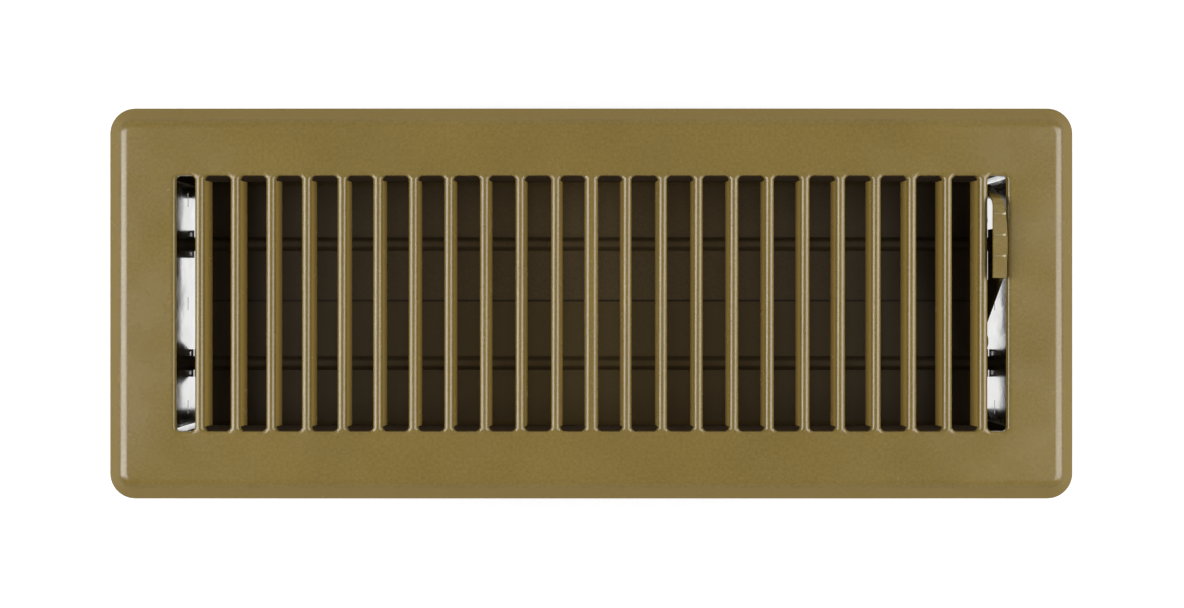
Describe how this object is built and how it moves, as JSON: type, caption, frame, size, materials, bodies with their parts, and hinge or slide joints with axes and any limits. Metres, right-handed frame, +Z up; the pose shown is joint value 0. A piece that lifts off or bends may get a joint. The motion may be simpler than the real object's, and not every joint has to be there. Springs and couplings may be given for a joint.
{
  "type": "floor register",
  "caption": "Rectangular stamped steel floor register: a slotted face with rolled bars and fins over a damper box, whose linked blades are worked by a thumb lever in the end slot.",
  "frame": {"origin": "middle of the floor plane, on which the underside of the face's rim rests", "axes": "+X along the register towards the lever's end, +Y across it towards the rear wall, +Z up out of the floor"},
  "size_m": [0.343, 0.139, 0.0633],
  "materials": {
    "face_enamel": "satin ochre brown enamel",
    "lever_enamel": "satin ochre brown enamel",
    "blade_enamel": "satin dark brown enamel",
    "plated_steel": "bright zinc plate",
    "rivet_steel": "bright zinc plate"
  },
  "bodies": {
    "frame": {"face_plate": "face_enamel", "left_end_plate": "plated_steel", "right_end_plate": "plated_steel", "front_side_wall": "blade_enamel", "rear_side_wall": "blade_enamel"},
    "rear_blade": {"rear_damper_blade": "blade_enamel", "rear_crank_rivet": "rivet_steel"},
    "front_blade": {"front_damper_blade": "blade_enamel", "front_crank_rivet": "rivet_steel"},
    "lever": {"operating_lever": "lever_enamel"}
  },
  "joints": [
    {"name": "rear_blade_pivot", "type": "hinge", "parent": "frame", "child": "rear_blade", "pos_m": [0, 0.02247, -0.03047], "axis": [1, 0, 0], "range_deg": [0, 85]},
    {"name": "front_blade_pivot", "type": "hinge", "parent": "frame", "child": "front_blade", "pos_m": [0, -0.02247, -0.02948], "axis": [1, 0, 0], "range_deg": [0, 85]},
    {"name": "lever_pin", "type": "hinge", "parent": "rear_blade", "child": "lever", "pos_m": [0.1455, 0.03096, -0.02199], "axis": [1, 0, 0], "range_deg": [-85, 0]}
  ],
  "couplings": [
    {"joint": "front_blade_pivot", "follows": "rear_blade_pivot", "ratio": 1},
    {"joint": "lever_pin", "follows": "rear_blade_pivot", "ratio": -1}
  ]
}
